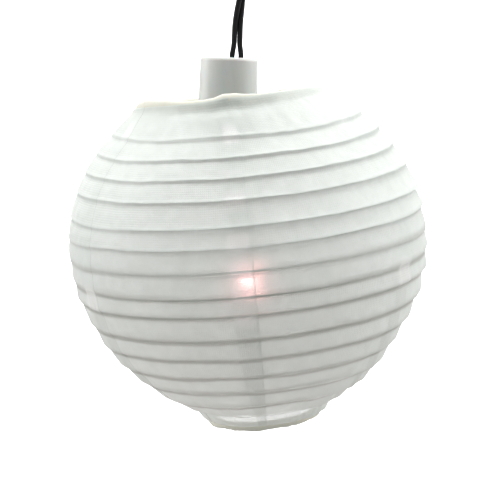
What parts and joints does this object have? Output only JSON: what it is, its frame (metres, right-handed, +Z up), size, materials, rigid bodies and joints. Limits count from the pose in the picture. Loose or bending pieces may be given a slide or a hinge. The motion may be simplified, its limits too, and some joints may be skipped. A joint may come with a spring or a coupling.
{
  "type": "accordion lantern",
  "caption": "Small hanging accordion lantern: a wire-ribbed cloth ball that folds flat along its axis, on a hanger wire through a white lamp holder with two drop wires and a lamp inside.",
  "frame": {"origin": "inside top of the hanging loop, where a hook or line carries the lantern", "axes": "+Z up, along the cloth ball's own axis; front, the side of the seam seen in the picture, towards -Y; +X to the viewer's right"},
  "size_m": [0.0798, 0.0799, 0.15],
  "materials": {
    "cloth": "thin off-white woven nylon, stiffened, lets light through",
    "hem": "cloth folded and glued, cream with dried glue",
    "rib_wire": "drawn spring wire",
    "white_plastic": "satin moulded plastic",
    "black_insulation": "satin flexible PVC insulation",
    "black_rubber": "satin moulded soft plastic",
    "seal_rubber": "soft white silicone",
    "lens": "clear cast epoxy, lit from inside",
    "leg_metal": "tinned steel wire",
    "brass": "plain pressed brass",
    "sleeve": "thin white insulating sleeve"
  },
  "bodies": {
    "lamp_holder": {"hanging_loop": "leg_metal", "string_joint": "black_rubber", "joint_gland": "black_rubber", "wire_left": "black_insulation", "wire_right": "black_insulation", "holder_shell": "white_plastic", "wire_seal": "seal_rubber", "holder_plug": "white_plastic", "crimp_left": "brass", "crimp_right": "brass", "led_leg_left": "leg_metal", "led_leg_right": "leg_metal", "leg_sleeve_left": "sleeve", "leg_sleeve_right": "sleeve", "led_lens": "lens"},
    "ball_top": {"hanger_wire": "rib_wire", "top_rim_ring": "rib_wire", "top_hem_left": "hem", "top_hem_right": "hem", "cloth_gore_1": "cloth", "cloth_gore_2": "cloth", "cloth_gore_3": "cloth", "cloth_gore_4": "cloth", "cloth_gore_5": "cloth", "cloth_gore_6": "cloth"},
    "rib_01": {"rib_ring_01": "rib_wire"},
    "rib_02": {"rib_ring_02": "rib_wire"},
    "rib_03": {"rib_ring_03": "rib_wire"},
    "rib_04": {"rib_ring_04": "rib_wire"},
    "rib_05": {"rib_ring_05": "rib_wire"},
    "rib_06": {"rib_ring_06": "rib_wire"},
    "rib_07": {"rib_ring_07": "rib_wire"},
    "rib_08": {"rib_ring_08": "rib_wire"},
    "rib_09": {"rib_ring_09": "rib_wire"},
    "rib_10": {"rib_ring_10": "rib_wire"},
    "rib_11": {"rib_ring_11": "rib_wire"},
    "rib_12": {"rib_ring_12": "rib_wire"},
    "rib_13": {"rib_ring_13": "rib_wire"},
    "rib_14": {"rib_ring_14": "rib_wire"},
    "rib_15": {"rib_ring_15": "rib_wire"},
    "ball_bottom": {"bottom_rim_ring": "rib_wire", "bottom_hem": "hem"}
  },
  "joints": [
    {"name": "ball_tilt", "type": "hinge", "parent": "lamp_holder", "child": "ball_top", "pos_m": [-0.00894, -0.00217, -0.07666], "axis": [0, 0.9954, -0.0958], "range_deg": [-15, 15]},
    {"name": "ball_fold", "type": "slide", "parent": "ball_top", "child": "ball_bottom", "axis": [0, 0, 1], "range_m": [0, 0.0564], "deforming": ["cloth_gore_1", "cloth_gore_2", "cloth_gore_3", "cloth_gore_4", "cloth_gore_5", "cloth_gore_6"]},
    {"name": "rib_01_lift", "type": "slide", "parent": "ball_top", "child": "rib_01", "axis": [0, 0, 1], "range_m": [0, 0.00346]},
    {"name": "rib_02_lift", "type": "slide", "parent": "ball_top", "child": "rib_02", "axis": [0, 0, 1], "range_m": [0, 0.00641]},
    {"name": "rib_03_lift", "type": "slide", "parent": "ball_top", "child": "rib_03", "axis": [0, 0, 1], "range_m": [0, 0.00945]},
    {"name": "rib_04_lift", "type": "slide", "parent": "ball_top", "child": "rib_04", "axis": [0, 0, 1], "range_m": [0, 0.0128]},
    {"name": "rib_05_lift", "type": "slide", "parent": "ball_top", "child": "rib_05", "axis": [0, 0, 1], "range_m": [0, 0.01703]},
    {"name": "rib_06_lift", "type": "slide", "parent": "ball_top", "child": "rib_06", "axis": [0, 0, 1], "range_m": [0, 0.02044]},
    {"name": "rib_07_lift", "type": "slide", "parent": "ball_top", "child": "rib_07", "axis": [0, 0, 1], "range_m": [0, 0.0245]},
    {"name": "rib_08_lift", "type": "slide", "parent": "ball_top", "child": "rib_08", "axis": [0, 0, 1], "range_m": [0, 0.02889]},
    {"name": "rib_09_lift", "type": "slide", "parent": "ball_top", "child": "rib_09", "axis": [0, 0, 1], "range_m": [0, 0.03215]},
    {"name": "rib_10_lift", "type": "slide", "parent": "ball_top", "child": "rib_10", "axis": [0, 0, 1], "range_m": [0, 0.03664]},
    {"name": "rib_11_lift", "type": "slide", "parent": "ball_top", "child": "rib_11", "axis": [0, 0, 1], "range_m": [0, 0.0404]},
    {"name": "rib_12_lift", "type": "slide", "parent": "ball_top", "child": "rib_12", "axis": [0, 0, 1], "range_m": [0, 0.04409]},
    {"name": "rib_13_lift", "type": "slide", "parent": "ball_top", "child": "rib_13", "axis": [0, 0, 1], "range_m": [0, 0.0473]},
    {"name": "rib_14_lift", "type": "slide", "parent": "ball_top", "child": "rib_14", "axis": [0, 0, 1], "range_m": [0, 0.0506]},
    {"name": "rib_15_lift", "type": "slide", "parent": "ball_top", "child": "rib_15", "axis": [0, 0, 1], "range_m": [0, 0.05347]}
  ],
  "couplings": [
    {"joint": "rib_01_lift", "follows": "ball_fold", "ratio": 0.057848},
    {"joint": "rib_02_lift", "follows": "ball_fold", "ratio": 0.11013},
    {"joint": "rib_03_lift", "follows": "ball_fold", "ratio": 0.16408},
    {"joint": "rib_04_lift", "follows": "ball_fold", "ratio": 0.22345},
    {"joint": "rib_05_lift", "follows": "ball_fold", "ratio": 0.29847},
    {"joint": "rib_06_lift", "follows": "ball_fold", "ratio": 0.35891},
    {"joint": "rib_07_lift", "follows": "ball_fold", "ratio": 0.43083},
    {"joint": "rib_08_lift", "follows": "ball_fold", "ratio": 0.50867},
    {"joint": "rib_09_lift", "follows": "ball_fold", "ratio": 0.56657},
    {"joint": "rib_10_lift", "follows": "ball_fold", "ratio": 0.64614},
    {"joint": "rib_11_lift", "follows": "ball_fold", "ratio": 0.7128},
    {"joint": "rib_12_lift", "follows": "ball_fold", "ratio": 0.77826},
    {"joint": "rib_13_lift", "follows": "ball_fold", "ratio": 0.83518},
    {"joint": "rib_14_lift", "follows": "ball_fold", "ratio": 0.89365},
    {"joint": "rib_15_lift", "follows": "ball_fold", "ratio": 0.94443}
  ]
}
